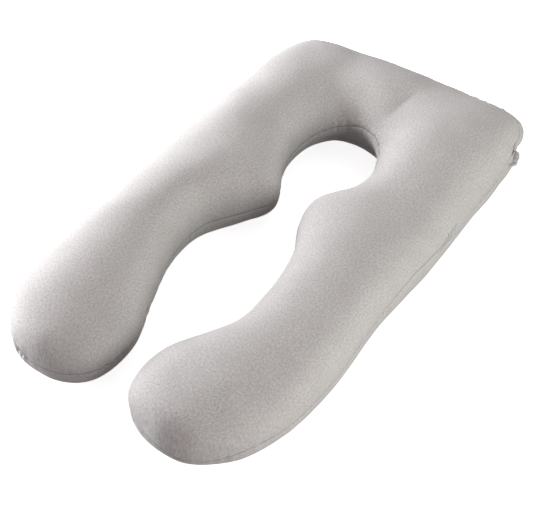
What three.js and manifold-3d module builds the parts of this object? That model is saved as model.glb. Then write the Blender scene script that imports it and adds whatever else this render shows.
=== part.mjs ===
// A U-shaped body pillow, lying on its back: two stuffed legs joined by a broad head end, all one filled
// cushion, with the folded tab that ends the opening of its cover. Millimetres, +Z up. +X points from the
// left leg to the right leg, +Y from the toes of the legs to the head end, and the origin is the centre of
// the footprint at floor level.

import * as THREE from "three";
import { mergeVertices } from "three/addons/utils/BufferGeometryUtils.js";
import Module from "manifold-3d";

// Driving dimensions
const TOE_LEVEL = 96; // height of the point where each leg closes
const UPPER_ROUNDNESS = 2.15; // superellipse exponent of a section above its widest line
const LOWER_ROUNDNESS = 2.7; // the same below it, where the weight of the filling squares it off
const FLOOR_PRESS = 1.06; // how far the underside would sag below the floor, as a share of its depth
const STEPS = 5; // rings from one section to the next
const AROUND = 26; // points in a ring
const SAME_POINT = 1e-3; // points nearer than this are one

// Sections of the cushion, from the toe of a leg to its shoulder. in and out are the points of the section
// on the inner and the outer side, at its widest line. crest is the height of the top above the floor,
// waist the height of the widest line, and under how far the underside is clear of the floor.
const RIGHT_LEG = [
  { inX: 206, inY: -712, outX: 206, outY: -712, crest: 96, waist: 96, under: 96 },
  { inX: 105, inY: -693, outX: 287, outY: -686, crest: 158, waist: 100, under: 34 },
  { inX: 48, inY: -635, outX: 359, outY: -610, crest: 184, waist: 103, under: 8 },
  { inX: 47, inY: -519, outX: 397, outY: -505, crest: 196, waist: 106, under: 0 },
  { inX: 130, inY: -371, outX: 409, outY: -380, crest: 204, waist: 108, under: 0 },
  { inX: 139, inY: -242, outX: 402, outY: -241, crest: 206, waist: 110, under: 0 },
  { inX: 113, inY: -93, outX: 390, outY: -109, crest: 209, waist: 111, under: 0 },
  { inX: 62, inY: 6, outX: 393, outY: 15, crest: 214, waist: 112, under: 0 },
  { inX: 46, inY: 91, outX: 395, outY: 135, crest: 214, waist: 112, under: 0 },
  { inX: 99, inY: 171, outX: 389, outY: 256, crest: 213, waist: 112, under: 0 },
  { inX: 112, inY: 257, outX: 382, outY: 381, crest: 216, waist: 114, under: 0 },
  { inX: 90, inY: 340, outX: 379, outY: 503, crest: 224, waist: 118, under: 0 },
  { inX: 54, inY: 386, outX: 348, outY: 685, crest: 220, waist: 118, under: 0 },
  { inX: 23, inY: 411, outX: 177, outY: 712, crest: 211, waist: 114, under: 0 },
];
const LEFT_LEG = [
  { inX: -210, inY: -702, outX: -210, outY: -702, crest: 96, waist: 96, under: 96 },
  { inX: -120, inY: -689, outX: -286, outY: -679, crest: 158, waist: 100, under: 34 },
  { inX: -55, inY: -626, outX: -361, outY: -595, crest: 190, waist: 104, under: 8 },
  { inX: -49, inY: -505, outX: -380, outY: -512, crest: 208, waist: 108, under: 0 },
  { inX: -105, inY: -373, outX: -388, outY: -374, crest: 213, waist: 110, under: 0 },
  { inX: -157, inY: -237, outX: -385, outY: -236, crest: 211, waist: 110, under: 0 },
  { inX: -166, inY: -98, outX: -392, outY: -108, crest: 210, waist: 110, under: 0 },
  { inX: -100, inY: 17, outX: -398, outY: 30, crest: 214, waist: 112, under: 0 },
  { inX: -62, inY: 90, outX: -401, outY: 153, crest: 218, waist: 114, under: 0 },
  { inX: -113, inY: 187, outX: -400, outY: 266, crest: 219, waist: 115, under: 0 },
  { inX: -138, inY: 266, outX: -394, outY: 399, crest: 220, waist: 116, under: 0 },
  { inX: -134, inY: 355, outX: -394, outY: 530, crest: 222, waist: 117, under: 0 },
  { inX: -94, inY: 416, outX: -348, outY: 660, crest: 215, waist: 115, under: 0 },
  { inX: -47, inY: 434, outX: -197, outY: 699, crest: 208, waist: 112, under: 0 },
];
const HEAD = { inX: -8, inY: 427, outX: -8, outY: 714, crest: 208, waist: 112, under: 0 };

// Broad hollows and swells of the filling: where each is, how wide it spreads and how far the skin goes
// down (-) or up (+) there.
const HOLLOWS = [
  { x: -290, y: 215, spread: 95, rise: -9 },
  { x: -150, y: 560, spread: 120, rise: 5 },
  { x: 60, y: 500, spread: 60, rise: -5 },
  { x: 170, y: 600, spread: 90, rise: -6 },
  { x: 235, y: 330, spread: 110, rise: 5 },
  { x: -230, y: -470, spread: 120, rise: 4 },
];

// The tab that ends the opening of the cover, on the outer side of the right leg near the head end. It is
// a flap that hangs from a slit, in two lobes of folded cloth, and the side is pinched in above it.
const TAB = { x: 371, y: 579, z: 110, length: 66, drop: 42, stand: 13, turn: 0.42, gap: 0.4 };
const TAB_LOBES = 2; // folds of cloth side by side in the tab
const TAB_CREASE = 0.2; // depth of the creases between them, as a share of its stand
const TAB_CREASE_TURN = 0.3; // how far the middle crease is turned below the middle, in radians
const TAB_RINGS = 24;
const TAB_AROUND = 20;
const PINCH = { y: 592, z: 138, along: 40, up: 34, depth: 8 };

const CLOTH = new THREE.MeshStandardMaterial({ name: "jersey", color: 0xb9b6b2, roughness: 0.95, metalness: 0 });

const COLUMNS = ["inX", "inY", "outX", "outY", "crest", "waist", "under"];

// The section just past a toe: the same section with its two sides swapped, and its heights turned over,
// so that the surface rounds the toe without a point.
function beyondToe(section) {
  return {
    inX: section.outX,
    inY: section.outY,
    outX: section.inX,
    outY: section.inY,
    crest: 2 * TOE_LEVEL - section.crest,
    waist: section.waist,
    under: 2 * TOE_LEVEL - section.under,
  };
}

// A uniform Catmull-Rom curve through one column of the sections, as a function of the section's number,
// where the section before the first one has the number -1.
function columnCurve(sections, column) {
  const points = sections.map((section, i) => new THREE.Vector3(i, section[column], 0));
  const curve = new THREE.CatmullRomCurve3(points, false, "catmullrom", 0.5);
  return (place) => curve.getPoint((place + 1) / (sections.length - 1)).y;
}

function hollowAt(x, y) {
  return HOLLOWS.reduce((sum, h) => {
    const away = ((x - h.x) ** 2 + (y - h.y) ** 2) / h.spread ** 2;
    return sum + h.rise * Math.exp(-away);
  }, 0);
}

// How far the side of the cushion is drawn in above the tab
function pinchAt(x, y, z) {
  if (x < 0) return 0;
  const along = (y - PINCH.y) / PINCH.along;
  const up = (z - PINCH.z) / PINCH.up;
  return PINCH.depth * Math.exp(-along * along - up * up);
}

// One ring of the cushion: a superellipse from the outer point over the crest to the inner point and back
// along the underside, which lies flat where it would sag below the floor.
function ringOf(section) {
  const middle = new THREE.Vector2((section.inX + section.outX) / 2, (section.inY + section.outY) / 2);
  const half = new THREE.Vector2((section.outX - section.inX) / 2, (section.outY - section.inY) / 2);
  const ring = [];
  for (let k = 0; k < AROUND; k++) {
    const angle = (2 * Math.PI * k) / AROUND;
    const above = k <= AROUND / 2;
    const power = 2 / (above ? UPPER_ROUNDNESS : LOWER_ROUNDNESS);
    const across = Math.sign(Math.cos(angle)) * Math.abs(Math.cos(angle)) ** power;
    const height = Math.abs(Math.sin(angle)) ** power;
    const x = middle.x + half.x * across;
    const y = middle.y + half.y * across;
    const rise = (section.crest - section.waist) * height;
    const sag = (section.waist - section.under) * height * FLOOR_PRESS;
    const upward = above ? rise + hollowAt(x, y) * height * height : -sag;
    const z = Math.max(0, section.waist + upward);
    ring.push(new THREE.Vector3(x - pinchAt(x, y, z) * Math.max(0, across), y, z));
  }
  return ring;
}

// A closed skin over rings of equally many points, with one end point at each end
function skin(start, rings, end) {
  const around = rings[0].length;
  const points = [start, ...rings.flat(), end];
  const last = points.length - 1;
  const at = (ring, k) => 1 + ring * around + (k % around);
  const faces = [];
  for (let k = 0; k < around; k++) {
    faces.push(0, at(0, k + 1), at(0, k));
    faces.push(last, at(rings.length - 1, k), at(rings.length - 1, k + 1));
    for (let r = 0; r + 1 < rings.length; r++) {
      faces.push(at(r, k), at(r, k + 1), at(r + 1, k + 1));
      faces.push(at(r, k), at(r + 1, k + 1), at(r + 1, k));
    }
  }
  const geometry = new THREE.BufferGeometry().setFromPoints(points);
  geometry.setIndex(faces);
  return geometry;
}

function cushionGeometry() {
  const sections = [...LEFT_LEG, HEAD, ...RIGHT_LEG.toReversed()];
  const padded = [beyondToe(sections[1]), ...sections, beyondToe(sections.at(-2))];
  const curves = COLUMNS.map((column) => columnCurve(padded, column));
  const sectionAt = (place) => Object.fromEntries(COLUMNS.map((column, i) => [column, curves[i](place)]));
  const rings = [];
  for (let r = 1; r < STEPS * (sections.length - 1); r++) rings.push(ringOf(sectionAt(r / STEPS)));
  const toe = (section) => new THREE.Vector3(section.inX, section.inY, section.waist);
  return skin(toe(sections[0]), rings, toe(sections.at(-1)));
}

// The tab before it is fitted: a lens of cloth with creases between its lobes, turned so that it rises
// toward the head end, half of it inside the cushion.
function tabGeometry() {
  const rings = [];
  for (let r = 1; r < TAB_RINGS; r++) {
    const polar = (Math.PI * r) / TAB_RINGS;
    const along = -Math.cos(polar) * (TAB.length / 2);
    const width = Math.sin(polar);
    const ring = [];
    for (let k = 0; k < TAB_AROUND; k++) {
      const angle = (-2 * Math.PI * k) / TAB_AROUND;
      const lobe = Math.cos(TAB_LOBES * 2 * (angle + TAB_CREASE_TURN));
      const radius = width * (1 - TAB_CREASE * (1 + lobe) * width);
      const out = Math.cos(angle) * TAB.stand * radius;
      ring.push(new THREE.Vector3(out, along, (Math.sin(angle) * TAB.drop * width) / 2));
    }
    rings.push(ring);
  }
  const half = TAB.length / 2;
  return skin(new THREE.Vector3(0, -half, 0), rings, new THREE.Vector3(0, half, 0))
    .rotateX(TAB.turn)
    .translate(TAB.x, TAB.y, TAB.z);
}

const wasm = await Module();
wasm.setup();

function solidOf(geometry) {
  const bare = geometry.clone();
  bare.deleteAttribute("normal");
  bare.deleteAttribute("uv");
  const merged = mergeVertices(bare, SAME_POINT);
  return new wasm.Manifold(
    new wasm.Mesh({
      numProp: 3,
      vertProperties: new Float32Array(merged.attributes.position.array),
      triVerts: new Uint32Array(merged.index.array),
    }),
  );
}

function geometryOf(solid) {
  const mesh = solid.getMesh();
  const geometry = new THREE.BufferGeometry();
  geometry.setAttribute("position", new THREE.BufferAttribute(mesh.vertProperties, 3));
  geometry.setIndex(new THREE.BufferAttribute(mesh.triVerts, 1));
  return geometry;
}

// Cuts the tab back to what lies outside the cushion, a hair clear of its side
function fittedTab(cushion) {
  const cleared = solidOf(cushion).translate([TAB.gap, 0, 0]);
  return geometryOf(solidOf(tabGeometry()).subtract(cleared));
}

function part(name, geometry) {
  geometry.computeVertexNormals();
  const mesh = new THREE.Mesh(geometry, CLOTH);
  mesh.name = name;
  return mesh;
}

const cushion = cushionGeometry();
const pillow = new THREE.Group();
pillow.add(part("cushion", cushion));
pillow.add(part("closure_tab", fittedTab(cushion)));

// The origin goes to the centre of the footprint
const bounds = new THREE.Box3().setFromObject(pillow);
const centre = bounds.getCenter(new THREE.Vector3());
pillow.position.set(-centre.x, -centre.y, 0);

export default pillow;
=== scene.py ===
import math

import bpy
import numpy as np
from mathutils import Matrix, Vector


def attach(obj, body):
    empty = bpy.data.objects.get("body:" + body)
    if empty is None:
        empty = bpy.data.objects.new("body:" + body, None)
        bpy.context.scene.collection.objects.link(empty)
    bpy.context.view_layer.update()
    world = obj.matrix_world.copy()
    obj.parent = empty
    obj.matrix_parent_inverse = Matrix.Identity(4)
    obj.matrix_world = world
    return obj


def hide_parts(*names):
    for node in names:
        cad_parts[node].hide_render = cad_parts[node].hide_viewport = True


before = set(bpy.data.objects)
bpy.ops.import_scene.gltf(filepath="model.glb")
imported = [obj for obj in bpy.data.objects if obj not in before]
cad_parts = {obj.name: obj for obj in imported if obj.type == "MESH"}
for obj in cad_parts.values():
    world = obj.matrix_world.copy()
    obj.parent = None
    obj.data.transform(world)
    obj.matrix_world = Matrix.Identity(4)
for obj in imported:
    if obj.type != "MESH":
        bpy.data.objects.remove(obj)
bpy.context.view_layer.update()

# Looks of a U-shaped body pillow in heather grey jersey, lying on its back: the stuffed cushion
# with the seam that joins its two panels, and the folded tab that ends the opening of its cover.
# Lengths are in metres, and the tables of shapes are in millimetres of the drawing.

MM = 0.001
DRAWN_CENTRE = np.array([4.0, 1.8, 0.0])  # the point of the drawing that is the origin

# Sections of the cushion from the toe of a leg to its shoulder, nearly as in the part's source.
# in and out are the points on the inner and the outer side at the widest line, crest, waist and
# under are heights, and seam_in and seam_out are the heights of the seam on the two sides.
COLUMNS = ("in_x", "in_y", "out_x", "out_y", "crest", "waist", "under", "seam_in", "seam_out")
LEFT_LEG = [
    (-210, -702, -210, -702, 80, 80, 80, 80, 80),
    (-120, -689, -286, -679, 158, 100, 34, 82, 86),
    (-55, -626, -361, -595, 190, 104, 8, 86, 84),
    (-49, -505, -380, -512, 208, 108, 0, 82, 96),
    (-105, -373, -388, -374, 213, 110, 0, 76, 100),
    (-157, -237, -385, -236, 211, 110, 0, 74, 98),
    (-166, -98, -392, -108, 210, 110, 0, 74, 100),
    (-100, 17, -398, 30, 214, 112, 0, 78, 104),
    (-62, 90, -401, 153, 218, 114, 0, 84, 102),
    (-113, 187, -400, 266, 219, 115, 0, 82, 98),
    (-138, 266, -394, 399, 220, 116, 0, 80, 104),
    (-134, 355, -394, 530, 222, 117, 0, 92, 116),
    (-94, 416, -348, 660, 215, 115, 0, 110, 134),
    (-47, 434, -197, 699, 208, 112, 0, 124, 148),
]
HEAD = (-8, 427, -8, 714, 208, 112, 0, 136, 158)
RIGHT_LEG = [
    (206, -712, 206, -712, 76, 76, 76, 76, 76),
    (105, -693, 287, -686, 158, 100, 34, 82, 60),
    (48, -635, 359, -610, 184, 103, 8, 84, 84),
    (47, -519, 397, -505, 196, 106, 0, 84, 84),
    (130, -371, 409, -380, 204, 108, 0, 80, 88),
    (139, -242, 402, -241, 206, 110, 0, 78, 92),
    (113, -93, 390, -109, 209, 111, 0, 78, 98),
    (62, 6, 393, 15, 214, 112, 0, 84, 122),
    (46, 91, 395, 135, 214, 112, 0, 92, 120),
    (99, 171, 389, 256, 213, 112, 0, 104, 92),
    (112, 257, 382, 381, 216, 114, 0, 122, 96),
    (90, 340, 379, 503, 224, 118, 0, 142, 112),
    (54, 386, 348, 685, 220, 118, 0, 148, 172),
    (23, 411, 177, 712, 211, 114, 0, 142, 166),
]
UPPER_ROUNDNESS = 2.15  # powers of the section's superellipse, above and below its widest line
LOWER_ROUNDNESS = 2.7
FLOOR_PRESS = 1.06  # the underside would sag by this factor, and is flat where it meets the floor
SEAM_LIMIT = 0.98  # the seam keeps below this share of the way to the crest or the underside
FINE_PLACES = 6000  # places at which the length of the legs is measured

# Broad hollows and swells of the filling, nearly as in the part's source: x, y, spread and rise
HOLLOWS = [
    (-150, 560, 120, 5),
    (60, 500, 60, -5),
    (170, 600, 90, -6),
    (235, 330, 110, 5),
    (-230, -470, 120, 4),
]

# Soft troughs of the top panel: from x, y to x, y, spread, and depth (below zero for a ridge)
TROUGHS = [
    (-128, 430, -168, 650, 46, 5.0),
    (40, 430, 72, 640, 40, 6.0),
    (58, 552, 48, 470, 11, 2.0),
    (-20, 470, -40, 600, 50, -3.0),
    (120, 360, 210, 520, 60, -3.0),
]

# Where the filling has gathered or given way: x, y, spread across and along the legs, and rise
SWELLS = [
    (-335, -95, 55, 150, -7.5),
    (-215, -95, 50, 130, 4.5),
    (-215, -440, 60, 90, 3),
    (-345, 340, 60, 60, -4),
    (-288, 195, 58, 85, 6),
    (-168, 175, 55, 90, -7),
    (-60, 440, 80, 36, 3),
    (-105, -560, 60, 110, -6),
    (235, -500, 75, 180, 5),
    (225, -40, 70, 150, 3),
]

# Where the filling swells a toe: x, y, z, spread and rise
BULGES = [
    (200, -695, 125, 48, 8),
    (-170, -685, 150, 50, 5),
    (-170, -690, 60, 45, -3),
    (120, -680, 110, 45, -2),
]

# The inner edge at the neck: where and how wide, and then the height from the seam, the reach
# and the rise of its lip, and of the drawn-in wall under it
NECK = {"x": -5, "y": 405, "spread": 115}
NECK_BANDS = [(-6, 28, 12), (-78, 40, -12)]

# The right side is drawn in above and behind the tab: where, how far along and up, how deep
PINCH = {"y": 655, "z": 86, "along": 42, "up": 36, "depth": 14}

# Creases of the right side, about the tab and at a small gather halfway along the leg: from y, z
# to y, z, spread and depth. The narrow ones get shade painted at the bottom.
SIDE_CREASES = [
    (604, 142, 577, 126, 4.5, 7),
    (577, 126, 560, 112, 4.5, 6),
    (555, 106, 603, 78, 4.5, 5),
    (585, 158, 640, 92, 16, 7),
    (600, 172, 569, 158, 8, 4),
    (569, 158, 545, 146, 9, 3),
    (246, 132, 238, 117, 4, 3),
    (227, 130, 217, 111, 4, 4),
    (208, 127, 201, 109, 4, 5),
    (193, 124, 184, 107, 4, 4),
    (176, 119, 171, 106, 4, 3),
]
# Narrow creases carry painted shade, which is darkest at DARKEST_DEPTH
NARROW_SPREAD = 6  # a crease with a smaller spread is narrow
DARKEST_DEPTH = 6  # the depth at which a narrow crease is darkest

# The groove of the seam, and how far from it the puckers reach
SEAM_DEPTH = 3.6
SEAM_REACH = 5.5
PUCKER_REACH = 26
LEAST_LEVEL = 0.04  # least square of the level part of a normal, so that no distance is endless

# The notch of the seam on the left toe, and how far about it the cover is gathered more
NOTCH = {"x": -240, "y": -694, "z": 87, "spread": 11, "depth": 5, "gathers": 38, "more": 1.3}

# Random ripples: rise, wavelength, number of waves, and seed of the draws
LUMPS = [(0.45, 150, 24, 3), (0.1, 42, 24, 4)]
PUCKERS = [(0.75, 21, 30, 5), (0.35, 12, 30, 6)]
GATHERS = [(0.45, 230, 12, 7)]
GATHER_MEAN = 0.55  # how much the cover is gathered at its seam, with the least and the most
GATHER_RANGE = (0.1, 1.6)
WAVE_RANGE = (0.7, 1.4)  # shortest and longest wave of a ripple, as shares of its wavelength

# The grid of the finished cushion
RING_STEP = 3.6
UPPER_POINTS = 92
LOWER_POINTS = 68
CLUSTER = 0.55  # how much closer the points lie at the seam than on the crest

# The coarse cover that is stuffed, and what its stuffing may do
SIM_RING_STEP = 11
SIM_UPPER_POINTS = 34
SIM_LOWER_POINTS = 28
SIM_FRAMES = 12
SIM_PRESSURE = 4.0
SIM_HOLD = 0.1  # how firmly the filling holds the cover to its shape, from 0 to 1
SIM_SEAM_REACH = 18  # the hold is weaker, and the cloth longer, this near to the seam
SIM_SEAM_SLACK = 0.8  # share of the hold that is lost at the seam
SIM_EASE = 0.05  # share by which the cloth is longer at the seam than the skin it covers
SIM_CAP = 3.0  # how far a fold may move a point of the cover
SIM_SLOW_PASSES = 150  # passes of averaging along the legs that leave only the slow part
SIM_CLOTH = {
    "quality": 5,
    "mass": 0.3,
    "tension_stiffness": 25,
    "compression_stiffness": 25,
    "shear_stiffness": 8,
    "bending_stiffness": 1.5,
}

# The tab at the end of the cover's opening: its tip, its length and half width, and its turn
# about X in radians
TAB = {"x": 376, "y": 545, "z": 113, "length": 53, "half": 30, "turn": -0.10}

# Section of the tab, from inside the cushion round its roll, over its lobe and in behind its lip:
# share of the half width, up from the middle, how far out the roll stands, and how much further
# the lobe does
TAB_SECTION = [
    (-0.50, -14, 0),
    (-0.80, -4, 0),
    (-0.80, 3, 0),
    (-0.64, 10, 0),
    (-0.44, 10, 0),
    (-0.32, 6, 0),
    (-0.25, -4, 0),
    (-0.17, -4, 3),
    (-0.06, -3, 9),
    (0.22, -3, 15),
    (0.70, -4, 15),
    (1.08, -5, 11),
    (1.06, -7, 5),
    (0.75, -9, 2),
    (0.20, -14, 0),
]
TAB_RINGS = 60
TAB_POINTS = 96
TAB_WIDENING = 0.8  # powers of the share along the tab: its width, its roll, and its closing end
TAB_ROLLING = 0.3
TAB_CLOSING = 8
TAB_FOOT = {"share": 0.50, "slant": 0.26, "reach": 0.12}  # where the lobe starts, and how fast
TAB_RIPPLE = {"rise": 0.7, "up": 11, "along": 5, "from": 1}  # on a lobe further out than from
# The slit and the tuck are the tab's folds where shade is painted into the colour
TAB_SLIT = {"up": -0.21, "spread": 0.06}  # the dark fold between the roll and the lobe
TAB_TUCK = {"foot": 0.01, "spread": 0.035, "from": 3}  # the dark fold at the foot of the lobe


def through_rows(rows, place):
    """Catmull-Rom curve through rows: half of (2 b + (c - a) t + (2 a - 5 b + 4 c - d) t^2
    + (3 b - a - 3 c + d) t^3), where a, b, c, d are the rows about the place, and t is how far
    it is from b to c."""
    last = len(rows) - 4
    start = np.clip(np.floor(place).astype(int), 0, last)
    t = (place - start).reshape((-1,) + (1,) * (rows.ndim - 1))
    a, b, c, d = (rows[start + k] for k in range(4))
    curved = (2 * a - 5 * b + 4 * c - d) * t**2 + (3 * b - a - 3 * c + d) * t**3
    return (2 * b + (c - a) * t + curved) / 2


def padded_rows(rows):
    """The rows with their ends carried on in a straight line, for curves through all of them."""
    return np.concatenate([2 * rows[:1] - rows[1:2], rows, 2 * rows[-1:] - rows[-2:-1]])


def past_the_toe(toe, row):
    """The section past a toe: the next section with its sides swapped and its heights mirrored
    about the toe, so that the surface rounds the toe without a point."""
    in_x, in_y, out_x, out_y, crest, waist, under, seam_in, seam_out = row
    level = toe[4]
    mirrored = 2 * level - crest, waist, 2 * level - under
    return (out_x, out_y, in_x, in_y, *mirrored, seam_out, seam_in)


def cushion_sections():
    """All the sections, from the left toe round the head to the right toe, with one more past
    each toe."""
    rows = LEFT_LEG + [HEAD] + RIGHT_LEG[::-1]
    before, after = past_the_toe(rows[0], rows[1]), past_the_toe(rows[-1], rows[-2])
    return np.array([before, *rows, after], float)


SECTIONS = cushion_sections()
LAST_PLACE = len(SECTIONS) - 3


def even_places(step):
    """Places along the sections that lie a step apart on whichever side is longer there."""
    fine = np.linspace(0, LAST_PLACE, FINE_PLACES)
    ends = through_rows(SECTIONS, fine)
    inner = np.hypot(*np.diff(ends[:, 0:2], axis=0).T)
    outer = np.hypot(*np.diff(ends[:, 2:4], axis=0).T)
    run = np.concatenate([[0], np.cumsum(np.maximum(inner, outer))])
    count = int(round(run[-1] / step))
    return np.interp((np.arange(count) + 0.5) / count * run[-1], run, fine)


def closer_at_ends(count, cluster):
    """count + 1 shares from 0 to 1, closer together at both ends: v - cluster sin(2 pi v)
    / (2 pi)."""
    v = np.linspace(0, 1, count + 1)
    return v - cluster * np.sin(2 * np.pi * v) / (2 * np.pi)


def seam_angle(height, waist, crest, sag):
    """The angle of a superellipse section where its side has this height: the arc sine of
    (|height - waist| / span)^(n / 2), upward or downward."""
    above = height >= waist
    span = np.where(above, crest - waist, sag)
    power = np.where(above, UPPER_ROUNDNESS, LOWER_ROUNDNESS) / 2
    share = np.clip(np.abs(height - waist) / np.maximum(span, 1e-6), 0, SEAM_LIMIT)
    return np.where(above, 1, -1) * np.arcsin(share**power)


def hollow_at(x, y):
    """Sum of the hollows: rise times exp(-(distance / spread)^2) for each."""
    total = np.zeros_like(x)
    for at_x, at_y, spread, rise in HOLLOWS:
        total += rise * np.exp(-((x - at_x) ** 2 + (y - at_y) ** 2) / spread**2)
    return total


def cushion_skin(places, upper, lower):
    """Rings of the cushion at the places. A ring is a superellipse: across by |cos|^(2/n), up by
    |sin|^(2/n), flattened where it would sag below the floor. It starts at the seam on the outer
    side, runs over the crest to the seam on the inner side, and back along the underside.
    Returns points and the seam's heights."""
    row = dict(zip(COLUMNS, through_rows(SECTIONS, places).T[:, :, None]))
    sag = (row["waist"] - row["under"]) * FLOOR_PRESS
    out_angle = seam_angle(row["seam_out"], row["waist"], row["crest"], sag)
    in_angle = np.pi - seam_angle(row["seam_in"], row["waist"], row["crest"], sag)
    over = out_angle + (in_angle - out_angle) * upper
    back = in_angle + (2 * np.pi + out_angle - in_angle) * lower[1:-1]
    angle = np.concatenate([over, back], axis=1)
    above = np.sin(angle) >= 0
    power = 2 / np.where(above, UPPER_ROUNDNESS, LOWER_ROUNDNESS)
    across = np.sign(np.cos(angle)) * np.abs(np.cos(angle)) ** power
    height = np.abs(np.sin(angle)) ** power
    x = (row["in_x"] + row["out_x"]) / 2 + (row["out_x"] - row["in_x"]) / 2 * across
    y = (row["in_y"] + row["out_y"]) / 2 + (row["out_y"] - row["in_y"]) / 2 * across
    rise = (row["crest"] - row["waist"]) * height + hollow_at(x, y) * height**2
    z = np.maximum(row["waist"] + np.where(above, rise, -sag * height), 0)
    seam = np.where(across > 0, row["seam_out"], row["seam_in"])
    return np.stack([x, y, z], axis=-1), np.broadcast_to(seam, z.shape)


def toe_points():
    """The two points where the legs close."""
    ends = SECTIONS[[1, -2]]
    return np.stack([ends[:, 0], ends[:, 1], ends[:, 5]], axis=-1)


def surface_normals(rings):
    """Outward normals of a grid of rings: the cross product of the steps along and around."""
    along = np.gradient(rings, axis=0)
    around = np.roll(rings, -1, axis=1) - np.roll(rings, 1, axis=1)
    normal = np.cross(around, along)
    return normal / np.maximum(np.linalg.norm(normal, axis=2, keepdims=True), 1e-9)


def ring_faces(rings, around):
    """Four-sided faces between rings, and three-sided ones to the points that close the ends."""
    index = np.arange(rings * around).reshape(rings, around)
    here, there = index[:-1], index[1:]
    corners = [here, np.roll(here, -1, 1), np.roll(there, -1, 1), there]
    quads = np.stack(corners, axis=-1).reshape(-1, 4)
    first, last = rings * around, rings * around + 1
    start = np.stack([np.full(around, first), np.roll(index[0], -1), index[0]], axis=-1)
    end = np.stack([np.full(around, last), index[-1], np.roll(index[-1], -1)], axis=-1)
    return quads, np.concatenate([start, end])


def mesh_object(name, points, faces):
    """A mesh object of points in metres and lists of faces, shaded smooth."""
    mesh = bpy.data.meshes.new(name)
    mesh.from_pydata(points.tolist(), [], [face for group in faces for face in group.tolist()])
    mesh.validate()
    mesh.shade_smooth()
    piece = bpy.data.objects.new(name, mesh)
    bpy.context.scene.collection.objects.link(piece)
    return piece


def mesh_points(mesh):
    """The places of a mesh's vertices as an array."""
    flat = np.empty(len(mesh.vertices) * 3)
    mesh.vertices.foreach_get("co", flat)
    return flat.reshape(-1, 3)


def weighted_group(piece, name, weights):
    """A vertex group whose weights are rounded to tenths, so that each tenth is one call."""
    group = piece.vertex_groups.new(name=name)
    tenths = np.round(weights * 10).astype(int)
    for tenth in range(1, 11):
        group.add(np.flatnonzero(tenths == tenth).tolist(), tenth / 10, "REPLACE")


def averaged(grid, axis, times):
    """A grid in which each value has become a quarter, a half and a quarter of its neighbours
    and itself, several times over. Rings (axis 1) are round, and the legs (axis 0) have ends."""
    for _ in range(times):
        if axis == 1:
            grid = (np.roll(grid, 1, 1) + 2 * grid + np.roll(grid, -1, 1)) / 4
        else:
            longer = np.concatenate([grid[:1], grid, grid[-1:]])
            grid = (longer[:-2] + 2 * longer[1:-1] + longer[2:]) / 4
    return grid


def stuffed(places, upper, lower):
    """How far stuffing the cover moves each point of it outward: cloth with a pressure inside,
    held near its shape by the filling and eased in at the seam, which counts as
    exp(-(height from it / reach)^2). Only the folds count, which change along a leg, so the slow
    part along the legs is taken off, and the rest is limited to cap tanh(move / cap)."""
    rings, seam = cushion_skin(places, upper, lower)
    normal = surface_normals(rings)
    points = np.concatenate([rings.reshape(-1, 3), toe_points()]) * MM
    cover = mesh_object("cover_at_rest", points, ring_faces(*rings.shape[:2]))
    near = np.append(np.exp(-(((rings[..., 2] - seam) / SIM_SEAM_REACH) ** 2)).ravel(), [1, 1])
    weighted_group(cover, "eased", near)
    weighted_group(cover, "held", 1 - SIM_SEAM_SLACK * near)
    cloth = cover.modifiers.new("stuffing", "CLOTH")
    made = cloth.settings
    for setting, value in SIM_CLOTH.items():
        setattr(made, setting, value)
    made.vertex_group_mass = "held"
    made.pin_stiffness = SIM_HOLD
    made.vertex_group_shrink = "eased"
    made.shrink_min = 0
    made.shrink_max = -SIM_EASE
    made.use_pressure = True
    made.uniform_pressure_force = SIM_PRESSURE
    made.effector_weights.gravity = 0
    cloth.collision_settings.use_collision = False
    cloth.point_cache.frame_start = 1
    cloth.point_cache.frame_end = SIM_FRAMES
    for step in range(1, SIM_FRAMES + 1):
        bpy.context.scene.frame_set(step)
    settled = cover.evaluated_get(bpy.context.evaluated_depsgraph_get())
    moved = (mesh_points(settled.data)[:-2] / MM).reshape(rings.shape) - rings
    bpy.context.scene.frame_set(1)
    bpy.data.objects.remove(cover)
    outward = averaged(averaged((moved * normal).sum(axis=2), 0, 2), 1, 1)
    folds = outward - averaged(outward, 0, SIM_SLOW_PASSES)
    folds = SIM_CAP * np.tanh(folds / SIM_CAP)
    shut = np.zeros((1, folds.shape[1]))
    return np.concatenate([shut, folds, shut])


def carried_over(moves, coarse_places, places, upper, lower):
    """The moves of the coarse cover at the finer grid's points, by curves along and around."""
    known = np.concatenate([[0], coarse_places, [LAST_PLACE]])
    along = through_rows(padded_rows(moves), np.interp(places, known, np.arange(len(known))))
    turned = along.T
    over = through_rows(padded_rows(turned[: SIM_UPPER_POINTS + 1]), upper * SIM_UPPER_POINTS)
    under = np.concatenate([turned[SIM_UPPER_POINTS:], turned[:1]])
    back = through_rows(padded_rows(under), lower[1:-1] * SIM_LOWER_POINTS)
    return np.concatenate([over, back]).T


def waves(points, length, count, seed, flat):
    """A random ripple: the sum of sines along random directions, of about one wavelength, scaled
    to a spread of one. A flat one has only level directions, so its ripples stand upright on a
    side."""
    draw = np.random.default_rng(seed)
    direction = draw.normal(size=(count, 3))
    if flat:
        direction[:, 2] = 0
    direction /= np.linalg.norm(direction, axis=1, keepdims=True)
    pace = 2 * np.pi / (length * draw.uniform(*WAVE_RANGE, size=(count, 1)))
    phase = draw.uniform(0, 2 * np.pi, count)
    total = np.zeros(points.shape[:-1])
    for k in range(count):
        total += np.sin(points @ (direction[k] * pace[k]) + phase[k])
    return total * math.sqrt(2 / count)


def ripples(points, rows, flat=False):
    """Sum of random ripples: rise times waves for each."""
    return sum(rise * waves(points, *wave, flat) for rise, *wave in rows)


def swells_at(x, y):
    """Sum of the swells: rise exp(-(x distance / across)^2 - (y distance / along)^2) for each."""
    total = np.zeros_like(x)
    for at_x, at_y, across, along, rise in SWELLS:
        total += rise * np.exp(-(((x - at_x) / across) ** 2) - ((y - at_y) / along) ** 2)
    return total


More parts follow.
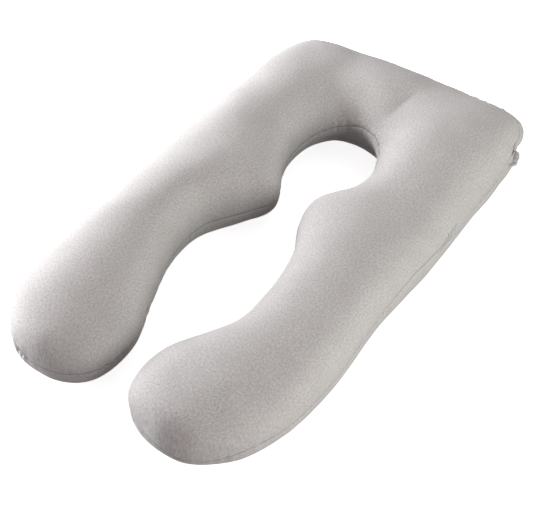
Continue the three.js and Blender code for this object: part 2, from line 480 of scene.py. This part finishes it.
def bulges_at(x, y, z):
    """Sum of the bulges: rise exp(-(distance / spread)^2) for each."""
    total = np.zeros_like(x)
    for at_x, at_y, at_z, spread, rise in BULGES:
        away = (x - at_x) ** 2 + (y - at_y) ** 2 + (z - at_z) ** 2
        total += rise * np.exp(-away / spread**2)
    return total


def neck_at(x, y, z):
    """The lip and the wall of the neck opening, with z from the seam: for each, rise
    exp(-(distance / spread)^2 - ((z - height) / reach)^2)."""
    near = np.exp(-((x - NECK["x"]) ** 2 + (y - NECK["y"]) ** 2) / NECK["spread"] ** 2)
    bands = (rise * np.exp(-(((z - height) / reach) ** 2)) for height, reach, rise in NECK_BANDS)
    return near * sum(bands)


def grooves_at(u, v, grooves):
    """Sum of grooves in a plane: -depth exp(-(distance to the line / spread)^2) for each."""
    total = np.zeros_like(u)
    for from_u, from_v, to_u, to_v, spread, depth in grooves:
        run_u, run_v = to_u - from_u, to_v - from_v
        share = ((u - from_u) * run_u + (v - from_v) * run_v) / (run_u**2 + run_v**2)
        share = np.clip(share, 0, 1)
        away = np.hypot(u - from_u - share * run_u, v - from_v - share * run_v)
        total -= depth * np.exp(-((away / spread) ** 2))
    return total


def right_side_at(y, z):
    """The right side: its pinch behind the tab, -depth exp(-(y distance / along)^2
    - (z distance / up)^2), and its creases."""
    along, up = (y - PINCH["y"]) / PINCH["along"], (z - PINCH["z"]) / PINCH["up"]
    return grooves_at(y, z, SIDE_CREASES) - PINCH["depth"] * np.exp(-(along**2) - up**2)


def sewn(rings, seam):
    """The stuffed skin with its sewing, moved along its normals by a sum: the troughs and swells
    times the square of the normal's upward part, soft lumps of the filling, puckers times the
    gathers times exp(-(distance from the seam / reach)^2), the seam's groove, -depth
    exp(-distance / reach), and its notch, the neck, the toes' bulges, and the right side times
    the normal's part to the right. Returns the points, how far each is from the seam, and how
    deep it lies in a narrow crease, from 0 to 1."""
    normal = surface_normals(rings)
    x, y, z = rings[..., 0], rings[..., 1], rings[..., 2]
    away = (z - seam) / np.sqrt(np.maximum(1 - normal[..., 2] ** 2, LEAST_LEVEL))
    top = np.clip(normal[..., 2], 0, 1) ** 2
    right = np.clip(normal[..., 0], 0, 1) * (x > 0)
    lumps = ripples(rings, LUMPS)
    puckers = ripples(rings, PUCKERS, flat=True)
    gather = np.clip(GATHER_MEAN + ripples(rings, GATHERS, flat=True), *GATHER_RANGE)
    notch = np.sqrt((x - NOTCH["x"]) ** 2 + (y - NOTCH["y"]) ** 2 + (z - NOTCH["z"]) ** 2)
    gather = gather + NOTCH["more"] * np.exp(-((notch / NOTCH["gathers"]) ** 2))
    offset = (grooves_at(x, y, TROUGHS) + swells_at(x, y)) * top + lumps
    offset += puckers * gather * np.exp(-((away / PUCKER_REACH) ** 2))
    offset -= SEAM_DEPTH * np.exp(-np.abs(away) / SEAM_REACH)
    offset -= NOTCH["depth"] * np.exp(-((notch / NOTCH["spread"]) ** 2))
    offset += neck_at(x, y, z - seam) + bulges_at(x, y, z)
    offset += right_side_at(y, z) * right
    made = rings + normal * offset[..., None]
    made[..., 2] = np.maximum(made[..., 2], 0)
    # How deep a point lies in a narrow crease, the number by which the material paints shade there
    narrow = [crease for crease in SIDE_CREASES if crease[4] < NARROW_SPREAD]
    folded = -grooves_at(y, z, narrow) / DARKEST_DEPTH * right
    return made, away, np.clip(folded, 0, 1)


def flat_cloth(rings):
    """Where each point lies on its panel as it was cut: the middle of the ring, moved across it
    by the length of the skin from there. The upper columns are the top panel, and the lower ones
    the bottom panel."""
    shut = np.concatenate([rings, rings[:, :1]], axis=1)
    length = np.cumsum(np.linalg.norm(np.diff(shut, axis=1), axis=2), axis=1)
    length = np.concatenate([np.zeros((len(rings), 1)), length], axis=1)
    across = rings[:, 0, :2] - rings[:, UPPER_POINTS, :2]
    across /= np.maximum(np.linalg.norm(across, axis=1, keepdims=True), 1e-9)

    def panel(first, last, way):
        middle = (first + last) // 2
        run = way * (length[:, middle, None] - length[:, first : last + 1])
        return shut[:, middle, None, :2] + across[:, None, :] * run[..., None]

    return panel(0, UPPER_POINTS, 1), panel(UPPER_POINTS, UPPER_POINTS + LOWER_POINTS, -1)


def add_cloth_map(mesh, top_panel, bottom_panel, rings, around):
    """A UV map in metres of flat cloth, corner by corner, so that each panel keeps its own knit.
    A face belongs to the panel of its lowest column, or of its highest where it closes a ring,
    and the corner at a toe takes the middle column of its panel."""
    corners = np.empty(len(mesh.loops), int)
    mesh.loops.foreach_get("vertex_index", corners)
    starts = np.empty(len(mesh.polygons), int)
    mesh.polygons.foreach_get("loop_start", starts)
    totals = np.empty(len(mesh.polygons), int)
    mesh.polygons.foreach_get("loop_total", totals)
    ring, column = np.divmod(np.minimum(corners, rings * around - 1), around)
    tip = corners >= rings * around
    ring = np.where(tip, np.where(corners == rings * around, 0, rings - 1), ring)
    face = np.repeat(np.arange(len(starts)), totals)
    lowest = np.minimum.reduceat(np.where(tip, around, column), starts)
    highest = np.maximum.reduceat(np.where(tip, -1, column), starts)
    wraps = highest - lowest > 1
    lower = (np.where(wraps, highest, lowest) >= UPPER_POINTS)[face]
    middle = np.where(lower, (UPPER_POINTS + around) // 2, UPPER_POINTS // 2)
    column = np.where(tip, middle, column)
    below = np.where(lower & (column == 0), around, column) - UPPER_POINTS
    place = np.where(
        lower[:, None],
        bottom_panel[ring, np.clip(below, 0, LOWER_POINTS)],
        top_panel[ring, np.clip(column, 0, UPPER_POINTS)],
    )
    layer = mesh.uv_layers.new(name="cloth")
    layer.data.foreach_set("uv", (place * MM).astype(np.float32).ravel())


def add_number(mesh, name, values):
    """A number for each vertex, which the material reads by its name."""
    numbers = mesh.attributes.new(name, "FLOAT", "POINT").data
    numbers.foreach_set("value", values.astype(np.float32))


def cushion_piece():
    """The finished cushion: rings of the sections, moved by the stuffing, then sewn."""
    places = even_places(RING_STEP)
    upper = closer_at_ends(UPPER_POINTS, CLUSTER)
    lower = closer_at_ends(LOWER_POINTS, CLUSTER)
    rings, seam = cushion_skin(places, upper, lower)
    coarse = even_places(SIM_RING_STEP)
    coarse_upper = closer_at_ends(SIM_UPPER_POINTS, 0)
    coarse_lower = closer_at_ends(SIM_LOWER_POINTS, 0)
    moves = stuffed(coarse, coarse_upper, coarse_lower)
    carried = carried_over(moves, coarse, places, upper, lower)
    rings = rings + surface_normals(rings) * carried[..., None]
    rings, away, folded = sewn(rings, seam)
    toes = toe_points()
    toes[:, 1] += SEAM_DEPTH
    count, around = rings.shape[:2]
    points = np.concatenate([rings.reshape(-1, 3), toes]) - DRAWN_CENTRE
    piece = mesh_object("cushion_cover", points * MM, ring_faces(count, around))
    add_cloth_map(piece.data, *flat_cloth(rings), count, around)
    # The distance from the seam and the crease number set where the material paints shade
    add_number(piece.data, "seam_away", np.append(away.ravel(), [0, 0]) * MM)
    add_number(piece.data, "crease", np.append(folded.ravel(), [0, 0]))
    return piece


def tab_piece():
    """The folded end of the opening: a fan of cloth that widens from its tip, with a long roll
    below and a lobe above, whose lip rolls over. The section is a closed curve through its rows.
    Its width grows as share^0.8, its roll stands out as share^0.3, and all of it closes as
    sqrt(1 - share^8). The lobe rises by the smooth step 3 s^2 - 2 s^3, where s is how far the
    share is past a foot that slants with the height, and it is rippled by a sine. The painted shade
    of the creases is exp(-(distance / spread)^2) at the slit above the roll, and at the foot of the
    lobe."""
    share = (1 - np.cos(np.linspace(0, np.pi, TAB_RINGS + 2)[1:-1]))[:, None] / 2
    rows = np.array(TAB_SECTION[-1:] + TAB_SECTION + TAB_SECTION[:2], float)
    around = np.linspace(0, len(TAB_SECTION), TAB_POINTS, endpoint=False)
    up, roll, lobe = through_rows(rows, around).T
    shut = np.sqrt(1 - share**TAB_CLOSING)
    foot = share - TAB_FOOT["share"] - TAB_FOOT["slant"] * np.clip(up, 0, None)
    rise = np.clip(foot / TAB_FOOT["reach"], 0, 1)
    rise = rise**2 * (3 - 2 * rise)
    ripple = TAB_RIPPLE["rise"] * np.sin(TAB_RIPPLE["up"] * up + TAB_RIPPLE["along"] * share)
    lobe_out = lobe + ripple * (lobe > TAB_RIPPLE["from"])
    x = TAB["x"] + (roll * share**TAB_ROLLING + lobe_out * rise) * shut
    run = TAB["length"] * share
    lift = TAB["half"] * up * share**TAB_WIDENING * shut
    cos, sin = math.cos(TAB["turn"]), math.sin(TAB["turn"])
    y = TAB["y"] + run * cos - lift * sin
    z = TAB["z"] + run * sin + lift * cos
    rings = np.stack([x, y, z], axis=-1)
    tips = [(TAB["x"], TAB["y"] + r * cos, TAB["z"] + r * sin) for r in (0, TAB["length"])]
    points = (np.concatenate([rings.reshape(-1, 3), np.array(tips)]) - DRAWN_CENTRE) * MM
    piece = mesh_object("closure_tab_cloth", points, ring_faces(*rings.shape[:2]))
    # Painted shade in the slit above the roll and at the foot of the lobe
    slit = np.exp(-(((up - TAB_SLIT["up"]) / TAB_SLIT["spread"]) ** 2))
    tuck = np.exp(-(((foot - TAB_TUCK["foot"]) / TAB_TUCK["spread"]) ** 2))
    fold = np.clip(slit + tuck * (lobe > TAB_TUCK["from"]), 0, 1)
    add_number(piece.data, "crease", np.append(fold.ravel(), [0, 0]))
    return piece


class Look:
    """A material in the making: its nodes, and the links between them."""

    def __init__(self, name):
        self.material = bpy.data.materials.new(name)
        self.material.use_nodes = True
        self.nodes = self.material.node_tree.nodes
        self.shader = self.nodes["Principled BSDF"]

    def finish(self, values):
        for socket, value in values.items():
            self.shader.inputs[socket].default_value = value

    def link(self, start, end):
        self.material.node_tree.links.new(start, end)

    def feed(self, socket, value):
        if isinstance(value, bpy.types.NodeSocket):
            self.link(value, socket)
        else:
            socket.default_value = value

    def number(self, name):
        node = self.nodes.new("ShaderNodeAttribute")
        node.attribute_name = name
        return node.outputs["Fac"]

    def math(self, operation, *values):
        node = self.nodes.new("ShaderNodeMath")
        node.operation = operation
        for socket, value in zip(node.inputs, values):
            self.feed(socket, value)
        return node.outputs[0]

    def scaled(self, vector, scale):
        node = self.nodes.new("ShaderNodeVectorMath")
        node.operation = "MULTIPLY"
        self.feed(node.inputs[0], vector)
        node.inputs[1].default_value = scale
        return node.outputs[0]

    def noise(self, vector, scale, detail, roughness):
        node = self.nodes.new("ShaderNodeTexNoise")
        self.feed(node.inputs["Vector"], vector)
        node.inputs["Scale"].default_value = scale
        node.inputs["Detail"].default_value = detail
        node.inputs["Roughness"].default_value = roughness
        return node.outputs["Fac"]

    def between(self, value, low, high, to_low, to_high):
        node = self.nodes.new("ShaderNodeMapRange")
        node.interpolation_type = "SMOOTHSTEP"
        for socket, number in zip(node.inputs, (value, low, high, to_low, to_high)):
            self.feed(socket, number)
        return node.outputs[0]

    def mixed(self, share, first, second):
        node = self.nodes.new("ShaderNodeMix")
        node.data_type = "RGBA"
        sockets = node.inputs[0], node.inputs[6], node.inputs[7]
        for socket, value in zip(sockets, (share, first, second)):
            self.feed(socket, value)
        return node.outputs[2]

    def bump(self, height, distance, strength, normal=None):
        node = self.nodes.new("ShaderNodeBump")
        node.inputs["Distance"].default_value = distance
        node.inputs["Strength"].default_value = strength
        self.feed(node.inputs["Height"], height)
        if normal is not None:
            self.link(normal, node.inputs["Normal"])
        return node.outputs[0]


# The yarns of the jersey, its tints, and the painted shade for its seam and folds
PALE_YARN = (0.656, 0.636, 0.616, 1)
DARK_YARN = (0.368, 0.358, 0.350, 1)
WARM_TINT = (0.596, 0.563, 0.543, 1)
COOL_TINT = (0.556, 0.568, 0.548, 1)
FOLD_SHADE = (0.16, 0.155, 0.15, 1)

# Noises of the jersey: scale, detail and roughness
STREAKS = (620, 3, 0.65)
SPECKS = (190, 3, 0.75)
CLOUDS = (16, 2, 0.5)
TINTS = (38, 2, 0.5)
NAP = (900, 2, 0.6)
STREAK_SHAPE = (0.35, 1.6, 1.0)  # streaks are long along the rows of stitches

# Where each noise turns from the first colour to the second, and how much of it shows
HEATHER_TURN = (0.38, 0.60)
CLOUD_TURN = (0.35, 0.65)
CLOUD_SHARE = 0.16
TINT_TURN = (0.4, 0.6)
TINT_SHARE = 0.12

# The knit: size and slant of a stitch, how high the edges of its two waves stand, and for the
# stitches and for the nap, the height in the bump and its strength
WALE = 1.5 * MM
COURSE = 1.15 * MM
STITCH_SLANT = 1.2
WALE_EDGE = 0.15
LOOP_EDGE = 0.2
KNIT_BUMP = (0.5 * MM, 0.6)
NAP_BUMP = (0.7 * MM, 0.5)

# The painted shade along the seam, which ends at this distance, and the painted shade in the creases
SEAM_SHADE = (0.4 * MM, 2.6 * MM)
SEAM_SHADE_SHARE = 0.6
CREASE_SHADE_SHARE = 0.8

JERSEY_FINISH = {
    "Roughness": 0.95,
    "Specular IOR Level": 0.15,
    "Sheen Weight": 0.2,
    "Sheen Roughness": 0.6,
}


def jersey(name, with_seam=True):
    """Heather jersey: pale and dark fibres mixed by half streaks along the rows of stitches and
    half specks, faint darker clouds, and faint warm and cool tints. The bump is a knit of
    V-shaped stitches, (wave across + edge) (slanted wave along + edge), under a soft nap. Shade
    is painted into the colour along the seam's groove and in the creases, by the numbers that the
    piece carries. The cushion is knitted along its panels, and the tab, which has no seam, level."""
    look = Look(name)
    place = look.nodes.new("ShaderNodeTexCoord")
    solid = place.outputs["Object"]
    cloth = place.outputs["UV"] if with_seam else look.scaled(solid, (0, 1, 1))
    split = look.nodes.new("ShaderNodeSeparateXYZ")
    look.link(cloth, split.inputs[0])
    across, along = split.outputs[0:2] if with_seam else split.outputs[1:3]

    streaks = look.noise(look.scaled(cloth, STREAK_SHAPE), *STREAKS)
    specks = look.noise(cloth, *SPECKS)
    clouds = look.noise(solid, *CLOUDS)
    tints = look.noise(solid, *TINTS)
    halves = look.math("MULTIPLY", streaks, 0.5), look.math("MULTIPLY", specks, 0.5)
    heather = look.math("ADD", *halves)
    yarn = look.mixed(look.between(heather, *HEATHER_TURN, 0, 1), DARK_YARN, PALE_YARN)
    yarn = look.mixed(look.between(clouds, *CLOUD_TURN, 0, CLOUD_SHARE), yarn, DARK_YARN)
    tinted = look.mixed(look.between(tints, *TINT_TURN, 0, 1), WARM_TINT, COOL_TINT)
    yarn = look.mixed(TINT_SHARE, yarn, tinted)

    wale = look.math("PINGPONG", look.math("MULTIPLY", across, 1 / WALE), 0.5)
    row = look.math("MULTIPLY", along, 1 / COURSE)
    slanted = look.math("ADD", row, look.math("MULTIPLY", wale, STITCH_SLANT))
    loop = look.math("PINGPONG", slanted, 0.5)
    edges = look.math("ADD", wale, WALE_EDGE), look.math("ADD", loop, LOOP_EDGE)
    knit = look.bump(look.math("MULTIPLY", *edges), *KNIT_BUMP)
    nap = look.bump(look.noise(cloth, *NAP), *NAP_BUMP, knit)
    look.link(nap, look.shader.inputs["Normal"])

    # Painted shade: the colour turns toward the fold shade near the seam's groove and in the creases
    if with_seam:
        near = look.math("ABSOLUTE", look.number("seam_away"))
        yarn = look.mixed(look.between(near, *SEAM_SHADE, SEAM_SHADE_SHARE, 0), yarn, FOLD_SHADE)
    crease = look.math("MULTIPLY", look.number("crease"), CREASE_SHADE_SHARE)
    look.link(look.mixed(crease, yarn, FOLD_SHADE), look.shader.inputs["Base Color"])
    look.finish(JERSEY_FINISH)
    return look.material


FLOOR_HALF = 14.0
FLOOR_DROP = 0.4 * MM
FLOOR_TONE = (0.9, 0.9, 0.9, 1)
FLOOR_GLOW = 0.85
RETURN_DROP = 0.8 * MM
RETURN_TONE = (0.28, 0.28, 0.28, 1)
SHEET_FINISH = {"Roughness": 0.9, "Emission Color": (1, 1, 1, 1)}


def floor_sheet(name, drop, tone, glow):
    """A wide level square a little below the pillow, with its tone and the strength of its
    glow."""
    half = FLOOR_HALF
    square = [(-half, -half, -drop), (half, -half, -drop), (half, half, -drop), (-half, half, -drop)]
    sheet = mesh_object(name, np.array(square), [np.array([[0, 1, 2, 3]])])
    look = Look(name + "_finish")
    look.finish({"Base Color": tone, "Emission Strength": glow, **SHEET_FINISH})
    sheet.data.materials.append(look.material)
    return sheet


def floor_piece():
    """A pale floor that glows, as a floor lit from below does in a studio, but sends no light
    up. The light that comes back up from the floor is that of a grey sheet under it, which the
    camera doesn't see, so the undersides and the openings stay in shade."""
    floor = floor_sheet("floor", FLOOR_DROP, FLOOR_TONE, FLOOR_GLOW)
    floor.visible_diffuse = False
    floor.visible_shadow = False
    under = floor_sheet("floor_return", RETURN_DROP, RETURN_TONE, 0)
    under.visible_camera = False


# Soft lights of the studio: the direction that each stands in, from +X toward +Y and up from the
# floor, in degrees, its power in watts, and its tone
SOFTBOXES = [
    ("left_softbox", 180, 20, 135, (0.986, 0.99, 1.0)),
    ("low_left_softbox", 202, 5, 190, (0.95, 0.96, 1.0)),
    ("right_softbox", 0, 20, 86, (0.95, 1.0, 0.95)),
    ("low_front_softbox", 337, 12, 16, (1.0, 0.72, 0.84)),
    ("head_softbox", 90, 60, 15, (0.9, 0.95, 1.0)),
]
SOFTBOX_AIM = Vector((0, 0, 0.1))
SOFTBOX_DISTANCE = 3.6
SOFTBOX_SIZE = 2.0
SURROUNDING = 0.212
SURROUNDING_TONE = (1.0, 0.84, 0.86, 1)


def soft_light(name, azimuth, elevation, power, tone):
    """A square soft light that looks at the pillow from a direction."""
    lamp = bpy.data.lights.new(name, "AREA")
    lamp.energy = power
    lamp.size = SOFTBOX_SIZE
    lamp.color = tone
    light = bpy.data.objects.new(name, lamp)
    bpy.context.scene.collection.objects.link(light)
    turn, rise = math.radians(azimuth), math.radians(elevation)
    level = math.cos(rise)
    way = Vector((math.cos(turn) * level, math.sin(turn) * level, math.sin(rise)))
    light.location = SOFTBOX_AIM + way * SOFTBOX_DISTANCE
    light.rotation_euler = (-way).to_track_quat("-Z", "Y").to_euler()
    light.visible_camera = False


def studio():
    """Low soft light from both long sides, several times stronger on the left, a little from the
    front and from above the head end, and a pale even surrounding."""
    for softbox in SOFTBOXES:
        soft_light(*softbox)
    world = bpy.data.worlds.new("surrounding")
    bpy.context.scene.world = world
    world.use_nodes = True
    back = world.node_tree.nodes["Background"]
    back.inputs["Color"].default_value = SURROUNDING_TONE
    back.inputs["Strength"].default_value = SURROUNDING


CAMERA_PLACE = (1.3764, -1.9449, 2.3792)
CAMERA_AZIMUTH = math.radians(36.011)
CAMERA_ELEVATION = math.radians(45.144)
CAMERA_ROLL = math.radians(0.188)
CAMERA_LENS = 86.14
CAMERA_SENSOR = 36
CAMERA_REACH = 100


def camera():
    """The photograph's view: turned by the azimuth, looking down by the elevation."""
    lens = bpy.data.cameras.new("camera")
    lens.lens = CAMERA_LENS
    lens.sensor_width = CAMERA_SENSOR
    lens.clip_end = CAMERA_REACH
    eye = bpy.data.objects.new("camera", lens)
    bpy.context.scene.collection.objects.link(eye)
    turn = Matrix.Rotation(CAMERA_AZIMUTH, 4, "Z")
    tip = Matrix.Rotation(math.pi / 2 - CAMERA_ELEVATION, 4, "X")
    roll = Matrix.Rotation(CAMERA_ROLL, 4, "Z")
    eye.matrix_world = Matrix.Translation(CAMERA_PLACE) @ turn @ tip @ roll
    bpy.context.scene.camera = eye


camera()
studio()
floor_piece()

cushion = cushion_piece()
cushion.data.materials.append(jersey("heather_jersey"))
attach(cushion, "root")
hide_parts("cushion")

tab = tab_piece()
tab.data.materials.append(jersey("folded_jersey", with_seam=False))
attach(tab, "root")
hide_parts("closure_tab")

bpy.context.scene.view_settings.view_transform = "Standard"
